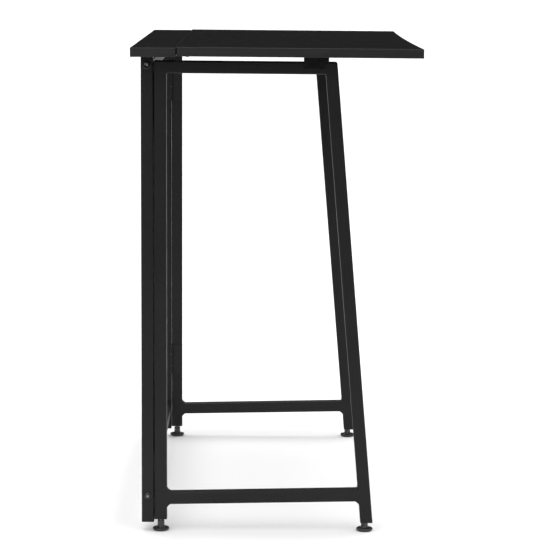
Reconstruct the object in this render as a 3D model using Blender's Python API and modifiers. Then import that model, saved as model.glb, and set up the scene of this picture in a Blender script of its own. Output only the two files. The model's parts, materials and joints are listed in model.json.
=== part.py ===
"""Folding work desk: a fixed rear shelf strip and a hinged front panel on a steel back frame, held up
by two steel gates that swing in flat against the back frame.

Metres, +Z up. The origin is on the floor, under the middle of the top. X runs along the width,
-Y is the side where the user sits, +Y the back. Left is -X, right is +X.
"""

from math import atan, cos, pi, sin

import bmesh
import bpy
from mathutils import Matrix, Vector

for old in list(bpy.data.objects):
    bpy.data.objects.remove(old, do_unlink=True)

# ---- driving dimensions ------------------------------------------------------------------------
WIDTH = 0.800                # top, left to right
BACK_Y = 0.220               # rear edge of the top
FRONT_Y = -0.220             # front corners of the top
TOP_Z = 0.750                # upper face of the rear strip
BOARD = 0.014                # board thickness
SEAM_Y = 0.1517              # front edge of the rear strip
SEAM_GAP = 0.0015            # slot between strip and panel
PANEL_RISE = 0.0011          # the panel stands this much above the strip at the seam
FALL = 0.0038                # slope of the panel and the gates' top tubes towards the front
FRONT_HOLLOW = 0.004         # how far the middle of the front edge is set back
BOARD_EDGE = 0.0007          # softened board edges
TUBE = 0.019                 # square tube, outside
WALL = 0.0012                # tube wall
CORNER = 0.0026              # tube corner radius
POST_X = 0.3535              # centre of the side tubes
POST_Y = 0.19655             # centre of the back posts
POST_BOTTOM = 0.0145         # the back posts end clear of the floor
POST_TOP = 0.732
TOP_RAIL_Z = 0.7225
LOW_RAIL_Z = 0.056
GATE_Y = 0.17655             # centre of the gates' own posts
GATE_POST_BOTTOM = 0.01887
GATE_TOP = 0.7292            # upper face of the gate's top tube at its rear end
LEG_FRONT_Y = -0.0941        # front face of the leg where LEG_REF_Z is
LEG_REF_Z = 0.700
LEG_SPLAY = 0.0856           # forward travel of the leg for each unit down
LEG_BOTTOM = 0.0139
STRETCHER_Z = 0.0516         # centre of the stretcher at the gate post's rear face
STRETCHER_RISE = 0.0181
HINGE_X = 0.341              # gate hinge axis, just inside the posts
HINGE_Y = 0.1865
LOWER_HINGE = (0.145, 0.054)  # middle height and length
UPPER_HINGE = (0.6665, 0.084)
PANEL_HINGE_X = 0.250
PANEL_HINGE_LENGTH = 0.060
REAR_FOOT_Y = 0.17655
FRONT_FOOT_Y = -0.1405
FOOT_RADIUS = 0.0128
FOOT_BASE = 0.006
FOOT_NECK = 0.0054
STEM = 0.003
CLEAR = 0.0003               # gap between pieces that touch
ROUND = 28                   # sides of a round piece

STRIP_UNDER = TOP_Z - BOARD
PANEL_UNDER = STRIP_UNDER + PANEL_RISE
PANEL_AXIS_Y = SEAM_Y - SEAM_GAP / 2
PANEL_KNUCKLE = 0.0024
PANEL_AXIS_Z = STRIP_UNDER - PANEL_KNUCKLE - CLEAR
SPLAY = atan(LEG_SPLAY)
TILT = atan(FALL)

# ---- collections and materials -----------------------------------------------------------------
scene = bpy.context.scene
desk = bpy.data.collections.new("folding_desk")
cutters = bpy.data.collections.new("cutters")
for group in (desk, cutters):
    scene.collection.children.link(group)


def material(name, colour, roughness, metallic):
    made = bpy.data.materials.new(name)
    made.use_nodes = True
    shader = made.node_tree.nodes["Principled BSDF"]
    shader.inputs["Base Color"].default_value = (*colour, 1.0)
    shader.inputs["Roughness"].default_value = roughness
    shader.inputs["Metallic"].default_value = metallic
    made.diffuse_color = (*colour, 1.0)
    return made


POWDER = material("black_powder_coat", (0.017, 0.017, 0.018), 0.42, 0.0)
BOARD_SKIN = material("black_laminate", (0.012, 0.012, 0.012), 0.50, 0.0)
PLASTIC = material("black_plastic", (0.010, 0.010, 0.010), 0.48, 0.0)
BLACK_STEEL = material("blackened_steel", (0.045, 0.045, 0.047), 0.30, 0.85)
PIN_STEEL = material("zinc_plated_steel", (0.55, 0.55, 0.54), 0.34, 1.0)


# ---- building blocks ---------------------------------------------------------------------------
def empty(name, location, parent=None):
    made = bpy.data.objects.new(name, None)
    made.empty_display_size = 0.05
    made.location = location
    desk.objects.link(made)
    made.parent = parent
    return made


def place(name, mesh, mat, location=(0, 0, 0), rotation=(0, 0, 0), parent=None):
    """Puts a mesh in the desk. With a parent, location and rotation are in the parent's frame."""
    made = bpy.data.objects.new(name, mesh)
    if mat is None:
        cutters.objects.link(made)
        made.hide_render = True
        made.display_type = "WIRE"
    else:
        desk.objects.link(made)
        if not mesh.materials:
            mesh.materials.append(mat)
    made.location = location
    made.rotation_euler = rotation
    made.parent = parent
    return made


def to_mesh(bm, name):
    mesh = bpy.data.meshes.new(name)
    bm.to_mesh(mesh)
    bm.free()
    return mesh


def box_mesh(name, size, centre=(0, 0, 0), soft=0.0, along=None):
    """A box; soft bevels every edge, or only the edges that run along one axis (0, 1 or 2)."""
    bm = bmesh.new()
    bmesh.ops.create_cube(bm, size=1.0)
    bmesh.ops.scale(bm, vec=size, verts=bm.verts)
    bmesh.ops.translate(bm, vec=centre, verts=bm.verts)
    if soft:
        edges = [e for e in bm.edges
                 if along is None or abs((e.verts[0].co - e.verts[1].co)[along]) > 1e-6]
        bmesh.ops.bevel(bm, geom=edges, offset=soft, segments=3 if along is not None else 1,
                        profile=0.5, affect="EDGES")
    return to_mesh(bm, name)


def rod_mesh(name, radius, length, axis="Z", sides=ROUND):
    bm = bmesh.new()
    bmesh.ops.create_cone(bm, cap_ends=True, segments=sides, radius1=radius, radius2=radius,
                          depth=length)
    turn = {"X": Matrix.Rotation(pi / 2, 3, "Y"), "Y": Matrix.Rotation(pi / 2, 3, "X")}.get(axis)
    if turn:
        bmesh.ops.rotate(bm, matrix=turn, verts=bm.verts)
    return to_mesh(bm, name)


def shade_round(obj):
    obj.data.shade_smooth()
    obj.data.set_sharp_from_angle(angle=0.7)
    return obj


def boolean(obj, other, operation="DIFFERENCE"):
    made = obj.modifiers.new(operation.lower() + "_" + other.name, "BOOLEAN")
    made.operation = operation
    made.solver = "EXACT"
    made.object = other


def cut_plane(obj, point, normal, reach=0.12):
    """Removes what lies past a plane, on the side its normal points to. World coordinates."""
    block = place(obj.name + "_trim", box_mesh("trim", (reach,) * 3), None)
    normal = Vector(normal).normalized()
    block.rotation_euler = normal.to_track_quat("Z", "Y").to_euler()
    block.location = Vector(point) + normal * reach / 2
    boolean(obj, block)


def square_tube(name, centre, length, rotation, parent):
    """Rounded square steel tube, open from end to end, along its own Z. World coordinates."""
    shell = place(name, box_mesh(name, (TUBE, TUBE, length), soft=CORNER, along=2), POWDER)
    bore = place(name + "_bore", box_mesh("bore", (TUBE - 2 * WALL,) * 2 + (length * 1.2,)), None)
    for piece in (shell, bore):
        piece.location = centre
        piece.rotation_euler = rotation
    boolean(shell, bore)
    hang(shell, parent)
    return shell


def hang(obj, parent):
    """Parents an object to a group's empty without moving it."""
    origin = parent.location.copy()
    if parent.parent:
        origin += parent.parent.location
    obj.parent = parent
    obj.matrix_parent_inverse = Matrix.Translation(-origin)
    return obj


def turned(name, profile, mat, location, rotation, parent, sides=ROUND):
    """A turned piece: the profile (radius, height) runs from the top of the axis down its outside."""
    bm = bmesh.new()
    points = [bm.verts.new((radius, 0.0, height)) for radius, height in profile]
    for first, second in zip(points, points[1:]):
        bm.edges.new((first, second))
    made = place(name, to_mesh(bm, name), mat, location, rotation)
    screw = made.modifiers.new("turn", "SCREW")
    screw.axis = "Z"
    screw.angle = 2 * pi
    screw.steps = screw.render_steps = sides
    screw.use_merge_vertices = True
    screw.merge_threshold = 0.00001
    screw.use_smooth_shade = True
    return hang(made, parent)


def arc(centre, radius, first, last, steps):
    """Points of a quarter round or other arc in a turned profile; angles in turns of pi/2."""
    cr, cz = centre
    return [(cr + radius * cos(a), cz + radius * sin(a))
            for a in (pi / 2 * (first + (last - first) * k / steps) for k in range(steps + 1))]


# ---- groups: each moving group hangs from an empty on its joint's axis --------------------------
back_frame = empty("back_frame", (0, POST_Y, 0))
panel_group = empty("panel_group", (0, PANEL_AXIS_Y - POST_Y, PANEL_AXIS_Z), back_frame)
gate_group = {}
for side, word in ((-1, "left"), (1, "right")):
    gate_group[side] = empty(word + "_gate", (side * HINGE_X, HINGE_Y - POST_Y, 0), back_frame)


# ---- back frame --------------------------------------------------------------------------------
def screw_profile(head_radius, head_height, shank_radius, length):
    """Truss head screw along Z: the head's seat at z = 0, the shank below it."""
    crown = [(head_radius * sin(a), head_height * (0.25 + 0.75 * cos(a)))
             for a in (pi / 2 * k / 5 for k in range(6))]
    return ([(0.0, head_height)] + crown[1:] + [(head_radius, 0.0), (shank_radius, 0.0),
            (shank_radius, -length), (0.0, -length)])


inner_x = POST_X - TUBE / 2
rail_half = inner_x - CLEAR
plug = TUBE - 2 * WALL - 2 * CLEAR
posts = {}
for side, word in ((-1, "left"), (1, "right")):
    height = POST_TOP - POST_BOTTOM
    post = square_tube(word + "_back_post", (side * POST_X, POST_Y, POST_BOTTOM + height / 2),
                       height, (0, 0, 0), back_frame)
    posts[side] = post

    cap = place(word + "_post_top_cap",
                box_mesh("top_cap", (TUBE - 0.0004, TUBE - 0.0004, STRIP_UNDER - POST_TOP - 2 * CLEAR),
                         soft=0.0006), PLASTIC,
                (side * POST_X, POST_Y, (STRIP_UNDER + POST_TOP) / 2))
    spigot = place(word + "_cap_spigot", box_mesh("spigot", (plug, plug, 0.0070)), None,
                   (side * POST_X, POST_Y, POST_TOP - 0.0025))
    boolean(cap, spigot, "UNION")
    hang(cap, back_frame)
    hang(place(word + "_post_bottom_plug", box_mesh("bottom_plug", (plug, plug, 0.010), soft=0.0006),
               PLASTIC, (side * POST_X, POST_Y, POST_BOTTOM + 0.0055)), back_frame)

for word, rail_z in (("top", TOP_RAIL_Z), ("bottom", LOW_RAIL_Z)):
    square_tube(word + "_rail", (0, POST_Y, rail_z), 2 * rail_half, (0, pi / 2, 0), back_frame)
    for side, hand in ((-1, "left"), (1, "right")):
        name = hand + "_" + word
        nut = place(name + "_rail_nut", box_mesh("rail_nut", (0.016, plug, plug), soft=0.0006),
                    BLACK_STEEL, (side * (rail_half - 0.0085), POST_Y, rail_z))
        hole = place(name + "_screw_hole", rod_mesh("screw_hole", 0.0030, 0.06, "X", 20), None,
                     (side * (POST_X - 0.008), POST_Y, rail_z))
        boolean(nut, hole)
        boolean(posts[side], hole)
        hang(nut, back_frame)
        head = 0.0066 if word == "top" else 0.0056
        bolt = turned(name + "_frame_screw", screw_profile(head, 0.0023, 0.0026, 0.034), BLACK_STEEL,
                      (side * (POST_X + TUBE / 2 + CLEAR), POST_Y, rail_z), (0, side * pi / 2, 0),
                      back_frame)
        for k, turn in enumerate((0.25, 0.75)):
            blade = place(f"{name}_recess_{k}", box_mesh("recess", (0.0013, 0.0062, 0.0030)), None,
                          (side * (POST_X + TUBE / 2 + CLEAR + 0.0026), POST_Y, rail_z))
            blade.rotation_euler = (Matrix.Rotation(turn * pi, 3, "X")
                                    @ Matrix.Rotation(side * pi / 2, 3, "Y")).to_euler()
            boolean(bolt, blade)

strip = place("rear_strip", box_mesh("rear_strip", (WIDTH, BACK_Y - SEAM_Y, BOARD), soft=BOARD_EDGE),
              BOARD_SKIN, (0, (BACK_Y + SEAM_Y) / 2, TOP_Z - BOARD / 2))
hang(strip, back_frame)
for side, word in ((-1, "left"), (1, "right")):
    hang(place(word + "_strip_spacer",
               box_mesh("strip_spacer", (0.050, 0.0165, STRIP_UNDER - POST_TOP - 2 * CLEAR),
                        soft=0.0006), POWDER,
               (side * 0.130, POST_Y, (STRIP_UNDER + POST_TOP) / 2)), back_frame)


# ---- hinges ------------------------------------------------------------------------------------
def hinge_leaf(name, mat, length, knuckle, bore, gauge, width, knuckles, step, flip, frame, parent):
    """One leaf of a butt hinge. Its axis is its own Z; the plate reaches out along Y (flip turns it
    over) and lies on the +X side. knuckles are its spans as parts of the length, 0 to 1."""
    reach = knuckle + 2 * CLEAR
    low = knuckle - gauge
    plate = place(name, box_mesh(name, (gauge, width - reach, length),
                                 (low + step + gauge / 2, flip * (width + reach) / 2, 0)), mat)
    helpers = []
    for k, (start, end) in enumerate(knuckles):
        tall, mid = (end - start) * length - CLEAR, ((start + end) / 2 - 0.5) * length
        helpers.append(place(f"{name}_barrel_{k}", rod_mesh("barrel", knuckle, tall, sides=20), None,
                             (0, 0, 0)))
        helpers[-1].data.transform(Matrix.Translation((0, 0, mid)))
        tongue = box_mesh("tongue", (gauge, reach + gauge, tall),
                          (low + gauge / 2, flip * (reach + gauge) / 2, mid))
        helpers.append(place(f"{name}_tongue_{k}", tongue, None))
        if step:
            riser = box_mesh("riser", (gauge + step, gauge, tall),
                             (low + (gauge + step) / 2, flip * (reach + gauge / 2), mid))
            helpers.append(place(f"{name}_riser_{k}", riser, None))
    for other in helpers:
        boolean(plate, other, "UNION")
    hole = place(name + "_bore", rod_mesh("bore", bore, length * 1.2, sides=20), None)
    boolean(plate, hole)
    for piece in [plate, hole] + helpers:
        piece.location = frame.translation
        piece.rotation_euler = frame.to_euler()
    return hang(plate, parent)


def hinge(name, frame, fixed_flip, parents, sizes, step):
    """A butt hinge: fixed leaf with two knuckles, moving leaf with one, and its pin."""
    length, knuckle, bore, gauge, width = sizes
    hinge_leaf(name + "_fixed_leaf", BLACK_STEEL, length, knuckle, bore, gauge, width,
               ((0.0, 0.3), (0.7, 1.0)), 0.0, fixed_flip, frame, parents[0])
    hinge_leaf(name + "_moving_leaf", BLACK_STEEL, length, knuckle, bore, gauge, width,
               ((0.3, 0.7),), step, -fixed_flip, frame, parents[1])
    pin = place(name + "_pin", rod_mesh("pin", bore - CLEAR, length - CLEAR, sides=16), PIN_STEEL,
                frame.translation, frame.to_euler())
    shade_round(pin)
    hang(pin, parents[0])


def axes(x, z, origin):
    """A frame whose own X and Z point along the given world directions."""
    x, z = Vector(x), Vector(z)
    frame = Matrix((x, z.cross(x), z)).transposed().to_4x4()
    frame.translation = origin
    return frame


GATE_HINGE = (0.0027, 0.0015, 0.0012, 0.017)
PANEL_HINGE = (PANEL_HINGE_LENGTH, PANEL_KNUCKLE, 0.0013, 0.0011, 0.019)
for side, word in ((-1, "left"), (1, "right")):
    for level, (height, length) in (("lower", LOWER_HINGE), ("upper", UPPER_HINGE)):
        frame = axes((side, 0, 0), (0, 0, 1), (side * HINGE_X, HINGE_Y, height))
        hinge(f"{word}_{level}_gate_hinge", frame, side, (back_frame, gate_group[side]),
              (length, *GATE_HINGE), 0.0)
    frame = axes((0, 0, 1), (1, 0, 0), (side * PANEL_HINGE_X, PANEL_AXIS_Y, PANEL_AXIS_Z))
    hinge(word + "_panel_hinge", frame, -1, (back_frame, panel_group), PANEL_HINGE, PANEL_RISE)


# ---- front panel -------------------------------------------------------------------------------
def panel_mesh():
    """The panel's upper face, measured from its hinge axis: straight at the seam, gently hollow
    along the front edge."""
    bm = bmesh.new()
    bmesh.ops.create_grid(bm, x_segments=24, y_segments=1, size=0.5)
    back = SEAM_Y - SEAM_GAP
    for vert in bm.verts:
        share = 2 * vert.co.x
        front = FRONT_Y + FRONT_HOLLOW * (1 - share * share)
        vert.co.x *= WIDTH
        vert.co.y = (back if vert.co.y > 0 else front) - PANEL_AXIS_Y
        vert.co.z = TOP_Z + PANEL_RISE - PANEL_AXIS_Z
    return to_mesh(bm, "front_panel")


panel = place("front_panel", panel_mesh(), BOARD_SKIN, (0, PANEL_AXIS_Y, PANEL_AXIS_Z), (TILT, 0, 0))
thick = panel.modifiers.new("board", "SOLIDIFY")
thick.thickness = BOARD
thick.offset = -1.0
soften = panel.modifiers.new("edges", "BEVEL")
soften.width = BOARD_EDGE
soften.segments = 1
soften.limit_method = "ANGLE"
soften.angle_limit = 0.7
hang(panel, panel_group)

gate_over_y = -0.0600
for side, word in ((-1, "left"), (1, "right")):
    seat = GATE_TOP - FALL * (GATE_Y + TUBE / 2 - gate_over_y) + CLEAR
    under = PANEL_UNDER - FALL * (PANEL_AXIS_Y - gate_over_y) - CLEAR
    bracket = place(word + "_stop_bracket",
                    box_mesh("stop", (0.0186, 0.0382, under - seat), soft=0.0006), PLASTIC,
                    (side * 0.3553, gate_over_y, (under + seat) / 2), (TILT, 0, 0))
    cheek = place(word + "_stop_cheek",
                  box_mesh("cheek", (0.0026, 0.0312, under - seat + 0.0100)), None,
                  (side * 0.3647, gate_over_y + 0.0035, (under + seat) / 2 - 0.0051), (TILT, 0, 0))
    boolean(bracket, cheek, "UNION")
    hang(bracket, panel_group)


# ---- gates -------------------------------------------------------------------------------------
def leg_front(z):
    return LEG_FRONT_Y - LEG_SPLAY * (LEG_REF_Z - z)


def tube_top(y):
    return GATE_TOP - FALL * (GATE_Y + TUBE / 2 - y)


def foot_profile(neck_top):
    """Levelling foot: a round base with a full edge, its neck and the stem that screws in."""
    edge = 0.0022
    base = (arc((FOOT_RADIUS - edge, FOOT_BASE - edge), edge, 1, 0, 4)
            + arc((FOOT_RADIUS - edge, edge), edge, 0, -1, 4))
    return ([(0.0, neck_top + 0.0145), (STEM - 0.0006, neck_top + 0.0145), (STEM, neck_top + 0.0139),
             (STEM, neck_top), (FOOT_NECK - 0.0004, neck_top), (FOOT_NECK, neck_top - 0.0004),
             (FOOT_NECK, FOOT_BASE + 0.0014), (FOOT_NECK + 0.0014, FOOT_BASE)] + base
            + [(0.0, 0.0)])


down = Vector((0, -sin(SPLAY), -cos(SPLAY)))         # along the leg
forward = Vector((0, -cos(TILT), -sin(TILT)))        # along the top tube
ahead = Vector((0, -cos(SPLAY), sin(SPLAY)))         # square to the leg's front face
half = TUBE / 2
for side, word in ((-1, "left"), (1, "right")):
    x = side * POST_X
    group = gate_group[side]

    # centre line of the top tube, and where it meets the post's and the leg's centre lines
    tube_z = lambda y: tube_top(y) - half / cos(TILT)
    rear = Vector((x, GATE_Y, tube_z(GATE_Y)))
    shift = half / cos(SPLAY)
    y = LEG_FRONT_Y
    for _ in range(6):
        y = leg_front(tube_z(y)) + shift
    front = Vector((x, y, tube_z(y)))

    top = square_tube(word + "_gate_top_tube", (rear + front) / 2, (rear - front).length + 0.05,
                      (pi / 2 + TILT, 0, 0), group)
    post_low, post_high = GATE_POST_BOTTOM, GATE_TOP + 0.015
    post = square_tube(word + "_gate_post", (x, GATE_Y, (post_low + post_high) / 2),
                       post_high - post_low, (0, 0, 0), group)
    foot_of_leg = front + down * ((front.z - LEG_BOTTOM) / cos(SPLAY))
    leg = square_tube(word + "_gate_leg", (front + foot_of_leg) / 2,
                      (front - foot_of_leg).length + 0.05, (-SPLAY, 0, 0), group)
    for member, corner, along, other in ((top, rear, forward, Vector((0, 0, -1))),
                                         (post, rear, Vector((0, 0, -1)), forward),
                                         (top, front, -forward, down),
                                         (leg, front, down, -forward)):
        away = (other - along).normalized()
        cut_plane(member, corner - away * CLEAR / 2, away)
    cut_plane(leg, (x, foot_of_leg.y, LEG_BOTTOM), (0, 0, -1))

    # stretcher, between the post's front face and the leg's rear face
    centre_z = lambda y: STRETCHER_Z + STRETCHER_RISE * (GATE_Y + half - y)
    first = Vector((x, GATE_Y - half, centre_z(GATE_Y - half)))
    leg_back = leg_front(centre_z(-0.130)) + 2 * shift
    last = Vector((x, leg_back, centre_z(leg_back)))
    bar = square_tube(word + "_gate_stretcher", (first + last) / 2, (first - last).length + 0.03,
                      (pi / 2 - atan(STRETCHER_RISE), 0, 0), group)
    cut_plane(bar, first - Vector((0, CLEAR, 0)), (0, 1, 0))
    cut_plane(bar, last - ahead * CLEAR, ahead)

    # threaded plugs in the two tube ends, and the levelling feet
    for end, foot_y, tube_end, lean in (("rear", REAR_FOOT_Y, GATE_POST_BOTTOM, 0.0),
                                        ("front", FRONT_FOOT_Y, LEG_BOTTOM, -SPLAY)):
        mid_z = tube_end + 0.0085
        mid_y = GATE_Y if end == "rear" else leg_front(mid_z) + shift
        insert = place(f"{word}_{end}_foot_insert",
                       box_mesh("foot_insert", (plug, plug, 0.013), soft=0.0006), PLASTIC,
                       (x, mid_y, mid_z), (lean, 0, 0))
        hole = place(f"{word}_{end}_stem_hole", rod_mesh("stem_hole", STEM + 0.0004, 0.05, sides=24),
                     None, (x, foot_y, mid_z))
        boolean(insert, hole)
        hang(insert, group)
        turned(f"{word}_{end}_foot", foot_profile(tube_end - CLEAR), PLASTIC, (x, foot_y, 0),
               (0, 0, 0), group)
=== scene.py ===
"""Looks for the folding desk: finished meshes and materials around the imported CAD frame.

Row frame, metres: X along the width, -Y the user's side, +Z up, origin on the floor.
"""

import json
from math import atan, cos, pi, sin

import bmesh
import bpy
from mathutils import Matrix, Vector


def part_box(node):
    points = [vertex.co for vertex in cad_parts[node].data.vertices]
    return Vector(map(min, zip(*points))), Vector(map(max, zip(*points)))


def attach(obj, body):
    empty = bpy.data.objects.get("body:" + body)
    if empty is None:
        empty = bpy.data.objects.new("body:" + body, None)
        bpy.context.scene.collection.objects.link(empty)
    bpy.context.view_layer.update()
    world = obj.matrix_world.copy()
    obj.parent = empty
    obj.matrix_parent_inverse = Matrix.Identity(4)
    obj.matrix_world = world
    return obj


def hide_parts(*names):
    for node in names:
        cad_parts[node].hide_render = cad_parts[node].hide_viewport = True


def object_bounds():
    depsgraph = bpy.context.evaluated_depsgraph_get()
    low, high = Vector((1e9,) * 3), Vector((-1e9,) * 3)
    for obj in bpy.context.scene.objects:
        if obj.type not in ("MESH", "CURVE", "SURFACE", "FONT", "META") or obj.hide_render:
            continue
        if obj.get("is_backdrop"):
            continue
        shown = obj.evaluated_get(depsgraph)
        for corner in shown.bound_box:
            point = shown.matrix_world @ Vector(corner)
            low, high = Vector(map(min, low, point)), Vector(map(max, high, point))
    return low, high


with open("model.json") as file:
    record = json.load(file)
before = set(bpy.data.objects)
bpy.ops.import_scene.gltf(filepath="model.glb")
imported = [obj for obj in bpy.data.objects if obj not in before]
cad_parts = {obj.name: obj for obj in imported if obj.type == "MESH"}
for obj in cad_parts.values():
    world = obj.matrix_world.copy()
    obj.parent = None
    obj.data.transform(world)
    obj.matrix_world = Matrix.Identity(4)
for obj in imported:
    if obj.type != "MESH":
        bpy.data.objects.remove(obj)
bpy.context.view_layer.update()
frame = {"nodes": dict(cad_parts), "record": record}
SIDES = ((-1, "left"), (1, "right"))

# ---- dimensions, in metres ----------------------------------------------------------------------
TUBE = 0.019
WALL = 0.0012            # of the tubes, and the thickness of the hinge leaves
CORNER = 0.0026          # outer corner radius of the tubes
WELD = 0.0060            # leg of the weld in the stretcher's corners
CLOSE = 0.0004           # the slit between the two posts is drawn this much narrower
GATE_TOP = 0.7292        # top of the gates at the back
STRETCHER = 0.0516       # middle of the stretchers at the back
FALL = 0.0038            # slope of the panel and the gates' top tubes
SPLAY = 0.0856           # slope of the legs
RISE = 0.0181            # slope of the stretchers
BOARD = 0.014
SEAM = 0.0015            # gap between the two boards
PANEL_STEP = 0.0011      # the front board stands this much above the rear one at the seam
FRONT_HOLLOW = 0.004     # how far the front edge curves in at its middle
EDGE_BAND = 0.0008
STEM = 0.003             # radius of the feet's threaded stems
FLOOR_FRONT = -1.3       # the floor nearer than this throws no light on the desk

post_lo, post_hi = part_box("left_back_post")
gate_lo, gate_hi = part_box("left_gate_post")
leg_lo, leg_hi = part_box("left_gate_leg")
strip_lo, strip_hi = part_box("rear_strip")
panel_lo, panel_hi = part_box("front_panel")
top_rail_lo, top_rail_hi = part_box("top_rail")
low_rail_lo, low_rail_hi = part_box("bottom_rail")
POST_X = -(post_lo.x + post_hi.x) / 2
POST_Y = (post_lo.y + post_hi.y) / 2
GATE_Y = (gate_lo.y + gate_hi.y) / 2
GATE_BACK = gate_hi.y
LEG_END_Z = leg_lo.z
LEG_END_Y = leg_lo.y     # front face of the leg at its foot


# ---- small helpers ------------------------------------------------------------------------------
def shade(obj, sharp):
    """Smooth shading that leaves the flat faces flat and the corners crisp."""
    obj.data.shade_smooth()
    obj.data.set_sharp_from_angle(angle=sharp)
    if "flat_faces" not in obj.modifiers:
        weighted = obj.modifiers.new("flat_faces", "WEIGHTED_NORMAL")
        weighted.keep_sharp = True
        weighted.weight = 90


def new_object(name, bm, materials, body=None, replaces=(), sharp=0.6):
    """Makes an object of a finished bmesh, shades it and hangs it on its CAD body."""
    mesh = bpy.data.meshes.new(name)
    bm.normal_update()
    bm.to_mesh(mesh)
    bm.free()
    for made in materials if isinstance(materials, (list, tuple)) else [materials]:
        mesh.materials.append(made)
    obj = bpy.data.objects.new(name, mesh)
    bpy.context.scene.collection.objects.link(obj)
    shade(obj, sharp)
    if body:
        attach(obj, body)
    if replaces:
        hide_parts(*replaces)
    return obj


def rounded_square(half, radius, steps):
    """Points of a square outline with round corners, anticlockwise, centred on the origin."""
    points = []
    for turn, (cx, cy) in enumerate(((1, 1), (-1, 1), (-1, -1), (1, -1))):
        for k in range(steps + 1):
            a = pi / 2 * (turn + k / steps)
            points.append(((half - radius) * cx + radius * cos(a),
                           (half - radius) * cy + radius * sin(a)))
    return points


def hollow_tube(start, end, along, cross, steps=5):
    """An open square tube from start to end. along and cross are unit vectors of its frame."""
    bm = bmesh.new()
    other = along.cross(cross)
    outer = rounded_square(TUBE / 2, CORNER, steps)
    inner = rounded_square(TUBE / 2 - WALL, CORNER - WALL, steps)
    rings = []
    for place, outline in ((start, inner), (start, outer), (end, outer), (end, inner)):
        rings.append([bm.verts.new(place + cross * u + other * v) for u, v in outline])
    count = len(outer)
    for a in range(4):
        first, second = rings[a], rings[(a + 1) % 4]
        for k in range(count):
            n = (k + 1) % count
            bm.faces.new((first[k], first[n], second[n], second[k]))
    bmesh.ops.recalc_face_normals(bm, faces=bm.faces)
    return bm


def lathe(profile, axis_at, axis=Vector((0, 0, 1)), sides=64):
    """Turns (radius, height) points, listed from the axis at the top round to the axis below."""
    bm = bmesh.new()
    rings = []
    for radius, height in profile:
        if radius < 1e-7:
            rings.append([bm.verts.new((0, 0, height))])
        else:
            rings.append([bm.verts.new((radius * cos(2 * pi * k / sides),
                                        radius * sin(2 * pi * k / sides), height))
                          for k in range(sides)])
    for first, second in zip(rings, rings[1:]):
        for k in range(sides):
            n = (k + 1) % sides
            corners = {first[k % len(first)]: 0, second[k % len(second)]: 0,
                       second[n % len(second)]: 0, first[n % len(first)]: 0}
            if len(corners) > 2:
                bm.faces.new(list(corners))
    bmesh.ops.recalc_face_normals(bm, faces=bm.faces)
    turn = Vector((0, 0, 1)).rotation_difference(axis).to_matrix().to_4x4()
    turn.translation = axis_at
    bmesh.ops.transform(bm, matrix=turn, verts=bm.verts)
    return bm


def quarter(centre, radius, start, stop, steps=6):
    """Arc points of a lathe profile. Angles in right angles, 0 outwards and 1 up."""
    return [(centre[0] + radius * cos(pi / 2 * (start + (stop - start) * k / steps)),
             centre[1] + radius * sin(pi / 2 * (start + (stop - start) * k / steps)))
            for k in range(steps + 1)]


def box(size, centre=(0, 0, 0)):
    """A plain box, for cutting with."""
    bm = bmesh.new()
    bmesh.ops.create_cube(bm, size=1.0)
    bmesh.ops.scale(bm, vec=size, verts=bm.verts)
    bmesh.ops.translate(bm, vec=centre, verts=bm.verts)
    return bm


def subtract(obj, cutter_bm):
    """Cuts a bmesh shape out of an object and applies the cut."""
    mesh = bpy.data.meshes.new("cutter")
    cutter_bm.to_mesh(mesh)
    cutter_bm.free()
    cutter = bpy.data.objects.new("cutter", mesh)
    bpy.context.scene.collection.objects.link(cutter)
    modifier = obj.modifiers.new("cut", "BOOLEAN")
    modifier.object = cutter
    modifier.solver = "EXACT"
    bpy.context.view_layer.update()
    cut = bpy.data.meshes.new_from_object(obj.evaluated_get(bpy.context.evaluated_depsgraph_get()))
    obj.modifiers.clear()
    old, obj.data = obj.data, cut
    cut.name = obj.name
    bpy.data.meshes.remove(old)
    bpy.data.objects.remove(cutter)
    bpy.data.meshes.remove(mesh)


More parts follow.
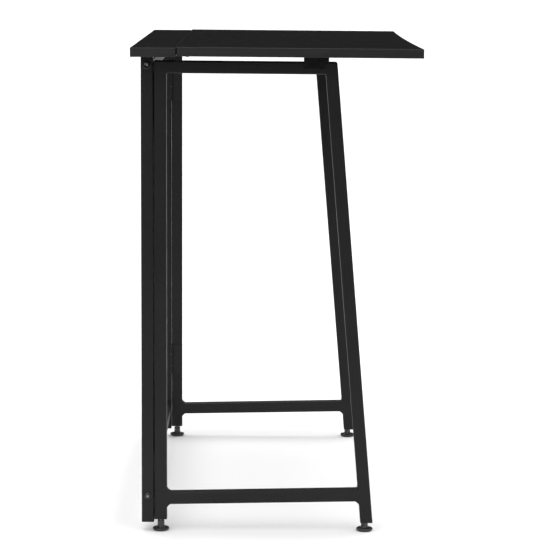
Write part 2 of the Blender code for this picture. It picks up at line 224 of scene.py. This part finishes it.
# ---- materials ----------------------------------------------------------------------------------
class Nodes:
    """A short way to write a Principled material with procedural colour, roughness and bump."""

    def __init__(self, name):
        self.material = bpy.data.materials.new(name)
        self.material.use_nodes = True
        self.tree = self.material.node_tree
        self.shader = self.tree.nodes["Principled BSDF"]
        self.place = self.add("ShaderNodeTexCoord").outputs["Object"]
        self.bumped = None

    def add(self, kind, **values):
        node = self.tree.nodes.new(kind)
        for key, value in values.items():
            if key in node.inputs:
                node.inputs[key].default_value = value
            else:
                setattr(node, key, value)
        return node

    def link(self, source, target):
        self.tree.links.new(source, target)

    def noise(self, scale, detail=3.0, rough=0.55, stretch=None):
        node = self.add("ShaderNodeTexNoise", Scale=scale, Detail=detail, Roughness=rough)
        where = self.place
        if stretch:
            mapping = self.add("ShaderNodeMapping", Scale=stretch)
            self.link(where, mapping.inputs["Vector"])
            where = mapping.outputs["Vector"]
        self.link(where, node.inputs["Vector"])
        return node.outputs["Fac"]

    def ramp(self, source, low, high, start=0.3, stop=0.7):
        """Maps a value to one between low and high."""
        node = self.add("ShaderNodeMapRange", clamp=True)
        for key, value in (("From Min", start), ("From Max", stop),
                           ("To Min", low), ("To Max", high)):
            node.inputs[key].default_value = value
        self.link(source, node.inputs["Value"])
        return node.outputs["Result"]

    def mix(self, factor, first, second):
        """Mixes two colours; each is a colour or a socket."""
        node = self.add("ShaderNodeMix", data_type="RGBA")
        self.link(factor, node.inputs["Factor"])
        for socket, value in ((node.inputs[6], first), (node.inputs[7], second)):
            if isinstance(value, bpy.types.NodeSocket):
                self.link(value, socket)
            else:
                socket.default_value = (*value, 1.0)
        return node.outputs[2]

    def edges(self, radius, low, high):
        """Runs from low on open faces to high where an edge is within the radius."""
        rounded = self.add("ShaderNodeBevel", samples=4, Radius=radius)
        dot = self.add("ShaderNodeVectorMath", operation="DOT_PRODUCT")
        self.link(rounded.outputs["Normal"], dot.inputs[0])
        self.link(self.add("ShaderNodeNewGeometry").outputs["Normal"], dot.inputs[1])
        return self.ramp(dot.outputs["Value"], high, low, 0.80, 0.995)

    def colour(self, source):
        self.link(source, self.shader.inputs["Base Color"])

    def rough(self, source):
        self.link(source, self.shader.inputs["Roughness"])

    def bump(self, source, distance, strength=1.0):
        node = self.add("ShaderNodeBump", Strength=strength, Distance=distance)
        self.link(source, node.inputs["Height"])
        if self.bumped:
            self.link(self.bumped, node.inputs["Normal"])
        self.bumped = node.outputs["Normal"]
        self.link(self.bumped, self.shader.inputs["Normal"])

    def set(self, **values):
        for key, value in values.items():
            self.shader.inputs[key.replace("_", " ")].default_value = value


def powder_coat():
    """Black powder coat: fine orange peel, faint cloudiness, edges rubbed a touch brighter."""
    n = Nodes("powder_coat")
    cloud = n.noise(9.0, 4.0)
    speck = n.noise(900.0, 2.0)
    base = n.mix(n.ramp(cloud, 0.0, 1.0), (0.0064, 0.0064, 0.0066), (0.0094, 0.0094, 0.0097))
    base = n.mix(n.ramp(speck, 0.0, 1.0, 0.60, 0.78), base, (0.019, 0.019, 0.020))
    n.colour(n.mix(n.edges(0.0007, 0.0, 0.5), base, (0.020, 0.020, 0.021)))
    n.rough(n.ramp(n.noise(38.0, 3.0), 0.43, 0.53))
    n.bump(n.noise(420.0, 2.0), 0.00006, 0.8)
    n.bump(n.noise(1700.0, 2.0), 0.00002, 0.7)
    n.set(Specular_IOR_Level=0.22)
    return n.material


def board_face():
    """Matt black laminate: a fine pressed grain along the width and the faintest wiping marks."""
    n = Nodes("laminate_face")
    grain = n.noise(160.0, 4.0, 0.6, stretch=(0.06, 1.0, 1.0))
    pores = n.noise(1500.0, 2.0, 0.5, stretch=(0.25, 1.0, 1.0))
    smear = n.noise(5.0, 3.0)
    base = n.mix(n.ramp(grain, 0.0, 1.0), (0.0015, 0.0015, 0.0016), (0.0058, 0.0058, 0.0059))
    n.colour(n.mix(n.ramp(smear, 0.0, 0.40), base, (0.0058, 0.0058, 0.0059)))
    n.rough(n.ramp(smear, 0.62, 0.74))
    n.bump(grain, 0.00005, 0.5)
    n.bump(pores, 0.00003, 0.6)
    n.set(Specular_IOR_Level=0.02)
    return n.material


def board_band():
    """Black edge band on the boards: smoother than the faces, with slight draw marks."""
    n = Nodes("edge_band")
    marks = n.noise(240.0, 3.0, 0.5, stretch=(0.05, 0.05, 1.0))
    n.colour(n.mix(n.ramp(marks, 0.0, 1.0), (0.0095, 0.0095, 0.0097), (0.0140, 0.0140, 0.0142)))
    n.rough(n.ramp(n.noise(30.0, 3.0), 0.40, 0.50))
    n.bump(marks, 0.00002, 0.5)
    n.set(Specular_IOR_Level=0.34)
    return n.material


def black_plastic():
    """Moulded black plastic with a fine spark-eroded texture."""
    n = Nodes("moulded_plastic")
    cloud = n.ramp(n.noise(60.0, 3.0), 0.0, 1.0)
    n.colour(n.mix(cloud, (0.0072, 0.0072, 0.0074), (0.0105, 0.0105, 0.0108)))
    n.rough(n.ramp(n.noise(110.0, 3.0), 0.14, 0.22))
    n.bump(n.noise(2600.0, 2.0), 0.00002, 0.6)
    n.set(Specular_IOR_Level=0.60)
    return n.material


def black_steel(name, sheen, dark, light, edge_wear_and_glint):
    """Blackened or painted steel in cloudy patches from dark to light, its edges lightened: wear
    on the hinges, and on the screws partly a painted highlight.
    """
    n = Nodes(name)
    patches = n.ramp(n.noise(220.0, 3.0), 0.0, 1.0, 0.35, 0.85)
    base = n.mix(patches, (dark,) * 3, (light,) * 3)
    # edges lightened: wear on the hinges, partly a painted highlight on the screws
    n.colour(n.mix(n.edges(0.0004, 0.0, 0.8), base, (edge_wear_and_glint,) * 3))
    n.rough(n.ramp(n.noise(180.0, 3.0), sheen, sheen + 0.12))
    n.bump(n.noise(900.0, 2.0), 0.00002, 0.5)
    return n


def screw_steel():
    """Black zinc, metallic along the edges; their light colour is partly bare-metal wear and
    partly a painted highlight standing in for the heads' glints.
    """
    n = black_steel("screw_black_zinc", 0.16, 0.010, 0.018, 0.55)
    n.link(n.edges(0.0004, 0.0, 0.9), n.shader.inputs["Metallic"])
    n.set(Specular_IOR_Level=0.35)
    return n.material


def recess_metal_and_glint():
    """Bare metal in the recess, its brightness partly a painted highlight standing in for the
    glints in the cross recess.
    """
    n = black_steel("screw_recess_metal_and_glint", 0.20, 0.42, 0.60, 0.75)
    n.set(Metallic=1.0)
    return n.material


def hinge_steel():
    """Black paint over the hinges, their screws and the stop brackets."""
    n = black_steel("hinge_black_paint", 0.36, 0.0080, 0.0105, 0.024)
    n.set(Specular_IOR_Level=0.25)
    return n.material


def zinc_steel():
    """Zinc plate on the hinge pins and the feet's stems, with fine turning marks."""
    n = Nodes("zinc_steel")
    lines = n.noise(1400.0, 2.0, 0.5, stretch=(1.0, 1.0, 0.05))
    n.colour(n.mix(n.ramp(lines, 0.0, 1.0), (0.50, 0.50, 0.49), (0.62, 0.62, 0.61)))
    n.rough(n.ramp(lines, 0.26, 0.38))
    n.set(Metallic=0.75)
    return n.material


POWDER, FACE, BAND = powder_coat(), board_face(), board_band()
PLASTIC, SCREW, HINGE, ZINC = black_plastic(), screw_steel(), hinge_steel(), zinc_steel()
RECESS_METAL_AND_GLINT = recess_metal_and_glint()
SLOT_MATERIAL = {"black_powder_coat": POWDER, "black_laminate": FACE, "black_plastic": PLASTIC,
                 "blackened_steel": HINGE, "zinc_plated_steel": ZINC}
for part in frame["record"]["subparts"]:
    node = frame["nodes"][part["node"]]
    node.data.materials.clear()
    node.data.materials.append(SLOT_MATERIAL[part["material_slot"]])
    soften = node.modifiers.new("soft_edges", "BEVEL")
    soften.width = 0.00025
    soften.segments = 2
    soften.limit_method = "ANGLE"
    soften.angle_limit = 0.7
    shade(node, 0.5)


# ---- boards -------------------------------------------------------------------------------------
def board(name, back_y, front_y, hollow, under, top, tilt_about, body, node):
    """A board banded on all four edges. The faces and the band meet in a small round."""
    bm = bmesh.new()
    cuts = 72
    half = strip_hi.x
    outline = [(half, back_y), (-half, back_y)]
    for k in range(cuts + 1):
        share = -1 + 2 * k / cuts
        outline.append((half * share, front_y + hollow * (1 - share * share)))
    ring = [bm.verts.new((x, y, under)) for x, y in outline]
    bottom = bm.faces.new(ring)
    lifted = bmesh.ops.extrude_face_region(bm, geom=[bottom])["geom"]
    bmesh.ops.translate(bm, vec=(0, 0, top - under),
                        verts=[v for v in lifted if isinstance(v, bmesh.types.BMVert)])
    bmesh.ops.recalc_face_normals(bm, faces=bm.faces)
    rims = [e for e in bm.edges if abs(e.verts[0].co.z - e.verts[1].co.z) < 1e-6
            or e.calc_face_angle(0) > 0.7]
    bmesh.ops.bevel(bm, geom=rims, offset=EDGE_BAND, segments=3, profile=0.5, affect="EDGES")
    bm.normal_update()
    for face in bm.faces:
        face.material_index = 0 if abs(face.normal.z) > 0.93 else 1
    if tilt_about:
        turn = (Matrix.Translation(tilt_about) @ Matrix.Rotation(atan(FALL), 4, "X")
                @ Matrix.Translation(-tilt_about))
        bmesh.ops.transform(bm, matrix=turn, verts=bm.verts)
    return new_object(name, bm, [FACE, BAND], body, [node])


SEAM_AXIS = Vector((0, strip_lo.y - SEAM / 2, strip_lo.z - 0.0027))
PANEL_UNDER = strip_lo.z + PANEL_STEP
board("rear_board", strip_hi.y, strip_lo.y, 0.0, strip_lo.z, strip_hi.z, None,
      "back_frame", "rear_strip")
board("front_board", strip_lo.y - SEAM, -strip_hi.y, FRONT_HOLLOW, PANEL_UNDER,
      PANEL_UNDER + BOARD, SEAM_AXIS, "front_panel", "front_panel")

# ---- back frame ---------------------------------------------------------------------------------
Z, X = Vector((0, 0, 1)), Vector((1, 0, 0))
for side, word in SIDES:
    x = side * POST_X
    new_object(word + "_post_tube",
               hollow_tube(Vector((x, POST_Y, post_lo.z)), Vector((x, POST_Y, post_hi.z)), Z, X),
               POWDER, "back_frame", [word + "_back_post"])
for word, low, high in (("top", top_rail_lo, top_rail_hi), ("bottom", low_rail_lo, low_rail_hi)):
    middle = (low + high) / 2
    new_object(word + "_rail_tube",
               hollow_tube(Vector((low.x, middle.y, middle.z)),
                           Vector((high.x, middle.y, middle.z)), X, Z),
               POWDER, "back_frame", [word + "_rail"])


def stand_on(obj, at, out, body):
    """Turns a head made upright to face out, sets it at its place and hangs it on its body."""
    turn = Z.rotation_difference(out).to_matrix().to_4x4()
    turn.translation = at
    obj.data.transform(turn)
    shade(obj, 0.6)
    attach(obj, body)


def screw_head(name, at, out, radius, node):
    """A low domed cross-recess head standing on a post; out is the way it faces."""
    height, recess, depth = 0.0026, 0.0034, 0.001
    rim = height * 0.30

    def dome_height(reach):
        return rim + (height - rim) * (1 - min(1, reach / radius) ** 2) ** 0.5

    dome = [(0.0, height)]
    for k in range(1, 15):
        a = pi / 2 * k / 14
        dome.append((radius * sin(a), rim + (height - rim) * cos(a)))
    dome += quarter((radius - rim * 0.45, rim * 0.45), rim * 0.45, 0, -1, 4)[1:]
    dome += [(radius * 0.45, 0.0), (radius * 0.42, -depth), (0.0, -depth)]
    obj = new_object(name, lathe(dome, Vector((0, 0, 0)), sides=72), [SCREW, RECESS_METAL_AND_GLINT])
    for turn in (0.25, 0.75):
        blade = box((recess * 2, recess * 0.36, height * 1.2), (0, 0, height * 0.97))
        tip = [v for v in blade.verts if v.co.z < height * 0.9]
        bmesh.ops.scale(blade, vec=(0.45, 0.5, 1.0), verts=tip)
        bmesh.ops.rotate(blade, matrix=Matrix.Rotation(turn * pi, 3, "Z"), verts=blade.verts)
        subtract(obj, blade)
    # the recess faces take the bright metal, partly a painted highlight for the head's glints
    for face in obj.data.polygons:
        reach = (face.center.x ** 2 + face.center.y ** 2) ** 0.5
        if reach < recess and 0 < face.center.z < dome_height(reach) - height * 0.05:
            face.material_index = 1
    stand_on(obj, at, out, "back_frame")
    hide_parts(node)


for side, word in SIDES:
    for level, low, high, radius in (("top", top_rail_lo, top_rail_hi, 0.0066),
                                     ("bottom", low_rail_lo, low_rail_hi, 0.0056)):
        at = Vector((side * (POST_X + TUBE / 2), POST_Y, (low.z + high.z) / 2))
        screw_head(f"{word}_{level}_screw_head", at, Vector((side, 0, 0)), radius,
                   f"{word}_{level}_frame_screw")


def leaf_screws(name, places, out, body):
    """A row of small painted-over cross-recess heads on a hinge leaf."""
    radius, height, root = 0.0021, 0.00042, 0.0003
    for k, at in enumerate(places):
        dome = [(0.0, height)] + [(radius * sin(a), height * cos(a)) for a in
                                  (pi / 2 * step / 8 for step in range(1, 9))]
        dome += [(radius, -root), (0.0, -root)]
        obj = new_object(f"{name}_{k + 1}", lathe(dome, Vector((0, 0, 0)), sides=40), HINGE)
        for turn in (0.15, 0.65):
            blade = box((0.0026, 0.00045, 0.0006), (0, 0, height))
            bmesh.ops.rotate(blade, matrix=Matrix.Rotation((turn + 0.13 * k) * pi, 3, "Z"),
                             verts=blade.verts)
            subtract(obj, blade)
        stand_on(obj, at, out, body)


def row_between(low, high, margin, count):
    """Evenly spaced places that leave the same share free at both ends."""
    return [low + (high - low) * (margin + (1 - 2 * margin) * k / (count - 1))
            for k in range(count)]


LEAF_INSET = 0.0062      # from a leaf's outer edge to its screws
for side, word in SIDES:
    for level, count in (("lower", 3), ("upper", 4)):
        for kind, body in (("fixed", "back_frame"), ("moving", word + "_gate")):
            low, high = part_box(f"{word}_{level}_gate_hinge_{kind}_leaf")
            face = side * (max(-low.x, high.x) - WALL)
            y = high.y - LEAF_INSET if kind == "fixed" else low.y + LEAF_INSET
            leaf_screws(f"{word}_{level}_hinge_{kind}_screw",
                        [Vector((face, y, z)) for z in row_between(low.z, high.z, 0.12, count)],
                        Vector((-side, 0, 0)), body)
    for kind, body in (("fixed", "back_frame"), ("moving", "front_panel")):
        low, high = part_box(f"{word}_panel_hinge_{kind}_leaf")
        y = high.y - LEAF_INSET if kind == "fixed" else low.y + LEAF_INSET
        leaf_screws(f"{word}_panel_hinge_{kind}_screw",
                    [Vector((x, y, low.z)) for x in row_between(low.x, high.x, 0.14, 3)],
                    Vector((0, 0, -1)), body)


# ---- gates --------------------------------------------------------------------------------------
def leg_front(z):
    """Y of the leg's front face at a height. The lines below are the other faces of a gate."""
    return LEG_END_Y - SPLAY * (LEG_END_Z - z)


def cross_lines(flat, slope_line):
    """Where z = flat(y) meets y = slope_line(z)."""
    y = slope_line(flat(0.0))
    for _ in range(8):
        y = slope_line(flat(y))
    return y, flat(y)


leg_wide = TUBE / cos(atan(SPLAY))
gate_front = GATE_Y - TUBE / 2


def top_line(y):
    return GATE_TOP - FALL * (GATE_BACK - y)


def tube_under(y):
    return top_line(y) - TUBE


def bar_top(y):
    return STRETCHER + TUBE / 2 + RISE * (GATE_BACK - y)


def bar_under(y):
    return bar_top(y) - TUBE


def leg_rear(z):
    return leg_front(z) + leg_wide


def prism(outline, low_x, high_x):
    """A flat outline of (y, z) points pushed out along X."""
    bm = bmesh.new()
    ring = [bm.verts.new((low_x, y, z)) for y, z in outline]
    face = bm.faces.new(ring)
    lifted = bmesh.ops.extrude_face_region(bm, geom=[face])["geom"]
    bmesh.ops.translate(bm, vec=(high_x - low_x, 0, 0),
                        verts=[v for v in lifted if isinstance(v, bmesh.types.BMVert)])
    bmesh.ops.recalc_face_normals(bm, faces=bm.faces)
    return bm


def gate_frame(side, word):
    """The gate's four tubes as one welded frame, its edges rounded and its corners filled."""
    low, high = side * POST_X - TUBE / 2, side * POST_X + TUBE / 2
    post_end, leg_end = gate_lo.z, LEG_END_Z
    back = GATE_BACK + CLOSE
    outline = [(back, post_end), (back, top_line(back)),
               cross_lines(top_line, leg_front), (leg_front(leg_end), leg_end),
               (leg_rear(leg_end), leg_end), cross_lines(bar_under, leg_rear),
               (gate_front, bar_under(gate_front)), (gate_front, post_end)]
    window = [(gate_front, bar_top(gate_front)), cross_lines(bar_top, leg_rear),
              cross_lines(tube_under, leg_rear), (gate_front, tube_under(gate_front))]
    obj = new_object(word + "_gate_frame", prism(outline, low, high), POWDER)
    subtract(obj, prism(window, low - 0.01, high + 0.01))
    bm = bmesh.new()
    bm.from_mesh(obj.data)
    bmesh.ops.remove_doubles(bm, verts=bm.verts, dist=1e-6)
    bmesh.ops.dissolve_limit(bm, angle_limit=0.001, verts=bm.verts, edges=bm.edges)
    ends = (post_end, leg_end)
    welds = [window[0], window[1], outline[5], outline[6]]
    inner = [e for e in bm.edges
             if any(all(abs(v.co.y - y) + abs(v.co.z - z) < 2e-5 for v in e.verts)
                    for y, z in welds)]
    bmesh.ops.bevel(bm, geom=inner, offset=WELD, segments=6, profile=0.36, affect="EDGES")
    edges = [e for e in bm.edges if e.calc_face_angle(0) > 0.5
             and not any(all(abs(v.co.z - end) < 1e-5 for v in e.verts) for end in ends)]
    bmesh.ops.bevel(bm, geom=edges, offset=CORNER, segments=6, profile=0.5, affect="EDGES")
    bm.to_mesh(obj.data)
    bm.free()
    bore = TUBE - 2 * WALL
    subtract(obj, box((bore, bore, 0.05), (side * POST_X, GATE_Y, post_end)))
    leg_bore = box((bore, bore, 0.05))
    middle = leg_front(leg_end) + leg_wide / 2
    bmesh.ops.transform(leg_bore, verts=leg_bore.verts,
                        matrix=Matrix.Translation((side * POST_X, middle, leg_end))
                        @ Matrix.Rotation(-atan(SPLAY), 4, "X"))
    subtract(obj, leg_bore)
    shade(obj, 0.5)
    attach(obj, word + "_gate")
    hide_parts(*[word + "_gate_" + p for p in ("post", "top_tube", "leg", "stretcher")])


def foot(side, word, end):
    """Levelling foot: a rimmed base on a smaller pad, a flared plastic neck and a steel stem."""
    low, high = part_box(f"{word}_{end}_foot")
    centre = Vector(((low.x + high.x) / 2, (low.y + high.y) / 2, 0))
    neck_top = (gate_lo.z if end == "rear" else LEG_END_Z) - 0.0003
    collar = min(neck_top, LEG_END_Z + 0.0020)      # top of the plastic neck
    radius, tall, edge, pad = (high.x - low.x) / 2, 0.0047, 0.0015, 0.0013
    neck, skirt, flare, soft = 0.0054, 0.0062, 0.0014, 0.0006
    profile = [(0.0, collar), (neck - soft, collar)]
    profile += quarter((neck - soft, collar - soft), soft, 0.8, 0, 4)
    profile += [(neck, tall + flare + 0.0029), (skirt, tall + flare)]
    profile += [(skirt + flare - flare * cos(pi / 2 * k / 6),
                 tall + flare - flare * sin(pi / 2 * k / 6)) for k in range(1, 7)]
    profile += quarter((radius - edge, tall - edge), edge, 1.0, 0.0, 6)
    profile += quarter((radius - 0.0008, pad + 0.0009), 0.0008, 0.0, -1.0, 4)
    profile += [(radius - 0.0016, pad), (radius - 0.0016, pad - 0.0002)]
    profile += quarter((radius - 0.0020, pad - soft), soft, 0.6, -1.0, 6)
    profile += [(radius * 0.62, 0.0), (radius * 0.58, 0.0004), (0.0, 0.0004)]
    new_object(f"{word}_{end}_levelling_foot", lathe(profile, centre, sides=96), PLASTIC,
               f"{word}_{end}_foot", [f"{word}_{end}_foot"], sharp=0.9)

    pitch, root, sunk = 0.001, 0.00255, 0.0012
    thread = [(0.0, high.z), (STEM - 0.0004, high.z), (STEM, high.z - 0.0004)]
    z = high.z - 0.0009
    while z > collar + 0.0002:
        thread += [(root, z), (STEM, z - pitch / 2)]
        z -= pitch
    thread += [(0.0025, collar - sunk), (0.0, collar - sunk)]
    new_object(f"{word}_{end}_foot_stem", lathe(thread, centre, sides=48), ZINC,
               f"{word}_{end}_foot", sharp=0.9)


for side, word in SIDES:
    gate_frame(side, word)
    for end in ("rear", "front"):
        foot(side, word, end)

# ---- floor, light and camera --------------------------------------------------------------------
def floor_sheet(name, low_x, high_x, material):
    bm = bmesh.new()
    bmesh.ops.create_grid(bm, x_segments=1, y_segments=1, size=0.5)
    bmesh.ops.scale(bm, vec=(high_x - low_x, 120.0, 1), verts=bm.verts)
    bmesh.ops.translate(bm, vec=((low_x + high_x) / 2, 0, 0), verts=bm.verts)
    sheet = new_object(name, bm, material)
    sheet.location.z = -0.0002
    sheet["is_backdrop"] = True
    return sheet


def stage_floor():
    """A pale floor. Its part in front of the desk's near end is seen but throws no light."""
    n = Nodes("studio_floor")
    n.shader.inputs["Base Color"].default_value = (0.94, 0.94, 0.94, 1.0)
    n.set(Roughness=0.9, Specular_IOR_Level=0.0)
    floor_sheet("studio_floor", FLOOR_FRONT, 118.7, n.material)
    apron = floor_sheet("studio_apron", -60.0, FLOOR_FRONT, n.material)
    apron.visible_diffuse = apron.visible_glossy = apron.visible_shadow = False


def studio_world():
    """Bright overhead and dim low down, dimmer still behind the desk; white where it is seen."""
    world = bpy.data.worlds.new("studio")
    bpy.context.scene.world = world
    world.use_nodes = True
    tree = world.node_tree
    tree.nodes.clear()
    coords = tree.nodes.new("ShaderNodeTexCoord")
    lean = tree.nodes.new("ShaderNodeVectorMath")
    lean.operation = "DOT_PRODUCT"
    lean.inputs[1].default_value = (-0.12, 0.0, 1.0)
    tree.links.new(coords.outputs["Generated"], lean.inputs[0])
    ramp = tree.nodes.new("ShaderNodeValToRGB")
    for k, (place, value) in enumerate(((0.0, 0.012), (0.30, 0.03), (0.65, 1.0), (1.0, 1.0))):
        stop = ramp.color_ramp.elements[k] if k < 2 else ramp.color_ramp.elements.new(place)
        stop.position = place
        stop.color = (value, value, value, 1.0)
    tree.links.new(lean.outputs["Value"], ramp.inputs["Fac"])
    dome = tree.nodes.new("ShaderNodeBackground")
    dome.inputs["Strength"].default_value = 1.72
    tree.links.new(ramp.outputs["Color"], dome.inputs["Color"])
    seen = tree.nodes.new("ShaderNodeBackground")
    seen.inputs["Strength"].default_value = 1.1
    path = tree.nodes.new("ShaderNodeLightPath")
    choose = tree.nodes.new("ShaderNodeMixShader")
    tree.links.new(path.outputs["Is Camera Ray"], choose.inputs["Fac"])
    tree.links.new(dome.outputs[0], choose.inputs[1])
    tree.links.new(seen.outputs[0], choose.inputs[2])
    out = tree.nodes.new("ShaderNodeOutputWorld")
    tree.links.new(choose.outputs[0], out.inputs["Surface"])


def softbox(name, at, aim, size, power):
    light = bpy.data.lights.new(name, "AREA")
    light.shape = "RECTANGLE"
    light.size, light.size_y = size
    light.energy = power
    obj = bpy.data.objects.new(name, light)
    bpy.context.scene.collection.objects.link(obj)
    obj.location = at
    obj.rotation_euler = (Vector(aim) - Vector(at)).to_track_quat("-Z", "Y").to_euler()
    obj.visible_camera = False


def camera():
    """The photograph's view: the desk's left end from a little above, through a long lens."""
    data = bpy.data.cameras.new("photo_view")
    data.sensor_width = 36.0
    data.lens = 148.776
    data.clip_end = 400.0
    obj = bpy.data.objects.new("photo_view", data)
    bpy.context.scene.collection.objects.link(obj)
    yaw, pitch, roll = (pi / 180 * a for a in (0.4729, 8.0601, 0.323))
    ahead = Vector((cos(yaw) * cos(pitch), -sin(yaw) * cos(pitch), -sin(pitch)))
    right = Vector((-sin(yaw), -cos(yaw), 0))
    up = right.cross(ahead)
    right, up = cos(roll) * right + sin(roll) * up, cos(roll) * up - sin(roll) * right
    turn = Matrix((right, up, -ahead)).transposed().to_4x4()
    turn.translation = (-3.83963, 0.02593, 0.89141)
    obj.matrix_world = turn
    bpy.context.scene.camera = obj


stage_floor()
studio_world()
softbox("overhead", at=(0.4, 0.0, 3.4), aim=(0, 0, 0.3), size=(1.8, 1.8), power=27)
softbox("front_fill", at=(-4.6, 1.5, 1.1), aim=(0, 0, 0.7), size=(1.6, 1.2), power=30)
softbox("low_kicker", at=(-1.7, -1.3, 0.12), aim=(-0.35, 0.15, 0.65), size=(0.3, 0.3), power=3.5)
camera()
bpy.context.scene.view_settings.view_transform = "Standard"

low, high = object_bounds()
